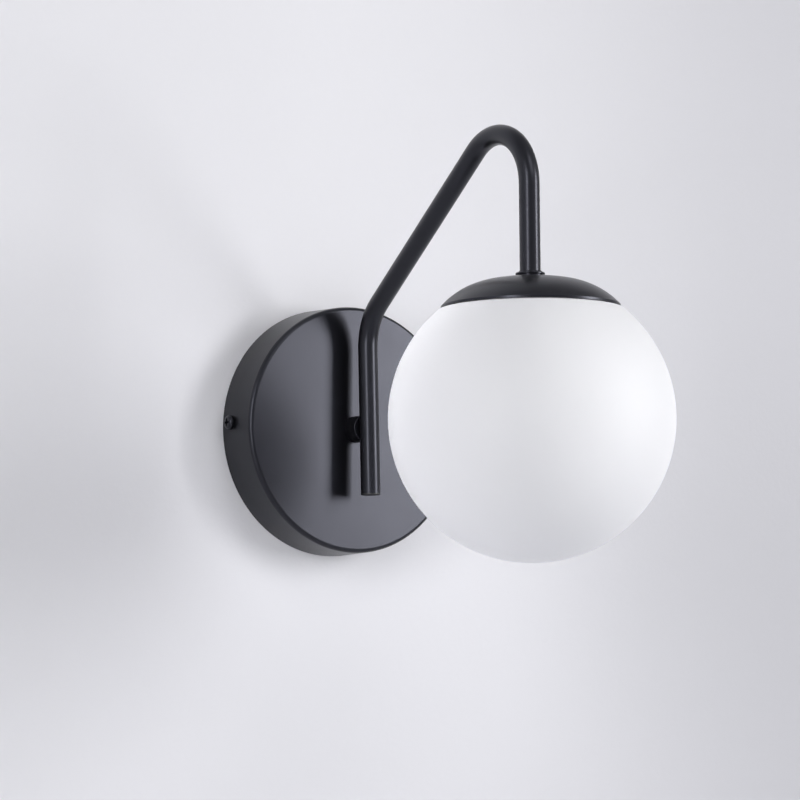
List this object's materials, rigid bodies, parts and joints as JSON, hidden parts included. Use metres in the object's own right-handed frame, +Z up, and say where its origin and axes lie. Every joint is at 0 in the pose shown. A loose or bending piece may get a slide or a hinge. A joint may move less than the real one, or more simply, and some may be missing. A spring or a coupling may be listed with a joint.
{
  "type": "globe wall sconce",
  "caption": "Wall sconce with a round canopy, a bent tube arm on a friction swivel, a shallow domed cap, and a closed opal glass globe held by hidden spring clips.",
  "frame": {"origin": "on the wall plane, midway between the two wall screws, behind the middle of the canopy", "axes": "+Y into the wall, so the lamp stands out towards -Y; +Z up; +X to the right seen from the room"},
  "size_m": [0.15, 0.271, 0.2346],
  "materials": {
    "black_paint": "satin black powder coat",
    "black_screw": "black oxide",
    "zinc_steel": "bright zinc plate",
    "spring_steel": "blued spring steel",
    "brass": "turned",
    "tinned_copper": "tinned",
    "nickel_plate": "nickel plate",
    "black_nylon": "moulded",
    "block_nylon": "moulded",
    "holder_plastic": "moulded thermoset",
    "holder_insulator": "glazed",
    "lamp_plastic": "moulded",
    "lamp_diffuser": "frosted",
    "lamp_glass_black": "vitrified",
    "lead_brown": "extruded sleeve",
    "lead_blue": "extruded sleeve",
    "lead_green_yellow": "extruded sleeve, striped",
    "opal_glass": "cased opal, glossy",
    "silicone": "moulded"
  },
  "bodies": {
    "wall_side": {"canopy": "black_paint", "wall_bracket": "zinc_steel", "canopy_side_screws": "black_screw", "boss_collar": "black_paint", "friction_washer": "black_nylon", "terminal_block": "block_nylon", "terminal_barrels": "brass", "terminal_clamp_screws": "zinc_steel", "terminal_block_screw": "zinc_steel", "earth_screw": "brass", "earth_washer": "brass", "earth_ring_tag": "tinned_copper", "earth_lead": "lead_green_yellow", "live_lead_canopy": "lead_brown", "neutral_lead_canopy": "lead_blue"},
    "arm": {"swivel_neck": "black_paint", "swivel_washer": "zinc_steel", "swivel_disc_spring": "spring_steel", "swivel_nut": "zinc_steel", "arm_tube": "black_paint", "arm_end_plug": "black_nylon", "live_lead_arm": "lead_brown", "neutral_lead_arm": "lead_blue", "cap_ring": "black_paint", "cap": "black_paint", "clip_spider": "zinc_steel", "spring_clips": "spring_steel", "clip_rivets": "zinc_steel", "cap_tooth_washer": "zinc_steel", "cap_nut": "zinc_steel", "lampholder_cap": "holder_plastic", "lampholder_skirt": "holder_plastic", "lampholder_insulator": "holder_insulator", "lampholder_shell": "brass", "lampholder_contact": "brass", "lampholder_terminals": "brass", "lampholder_terminal_screws": "zinc_steel"},
    "globe": {"globe_glass": "opal_glass", "globe_gasket": "silicone"},
    "lamp": {"lamp_contact": "tinned_copper", "lamp_base_insulator": "lamp_glass_black", "lamp_screw_base": "nickel_plate", "lamp_housing": "lamp_plastic", "lamp_diffuser": "lamp_diffuser"}
  },
  "joints": [
    {"name": "arm_swing", "type": "hinge", "parent": "wall_side", "child": "arm", "pos_m": [0, -0.042, 0], "axis": [0, -1, 0], "range_deg": [-90, 90]},
    {"name": "globe_off", "type": "slide", "parent": "arm", "child": "globe", "axis": [0, 0, -1], "range_m": [0, 0.135]},
    {"name": "lamp_out", "type": "slide", "parent": "arm", "child": "lamp", "axis": [0, 0, -1], "range_m": [0, 0.026]}
  ]
}
